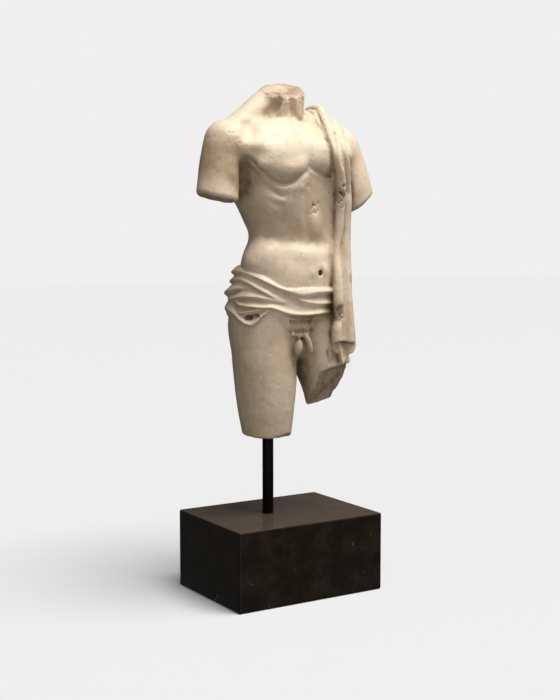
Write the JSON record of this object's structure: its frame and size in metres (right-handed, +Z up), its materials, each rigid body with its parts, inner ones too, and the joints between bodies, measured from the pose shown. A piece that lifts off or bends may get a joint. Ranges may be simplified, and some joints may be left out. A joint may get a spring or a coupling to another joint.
{
  "type": "marble torso sculpture",
  "caption": "Marble torso of a standing youth without head, forearms or lower legs, cloth round the hips and a mantle over one shoulder, held on a rod above a polished stone plinth.",
  "frame": {"origin": "centre of the plinth's underside", "axes": "+Z up; the figure faces -Y and its own left side is towards +X"},
  "size_m": [0.2067, 0.133, 0.5461],
  "materials": {
    "marble": "worn carved marble, cream with brown and yellow patina",
    "rod_black": "matt black steel",
    "dark_stone": "polished black-brown stone with pale flecks"
  },
  "bodies": {
    "root": {"torso": "marble", "rod": "rod_black", "plinth": "dark_stone"}
  },
  "joints": []
}
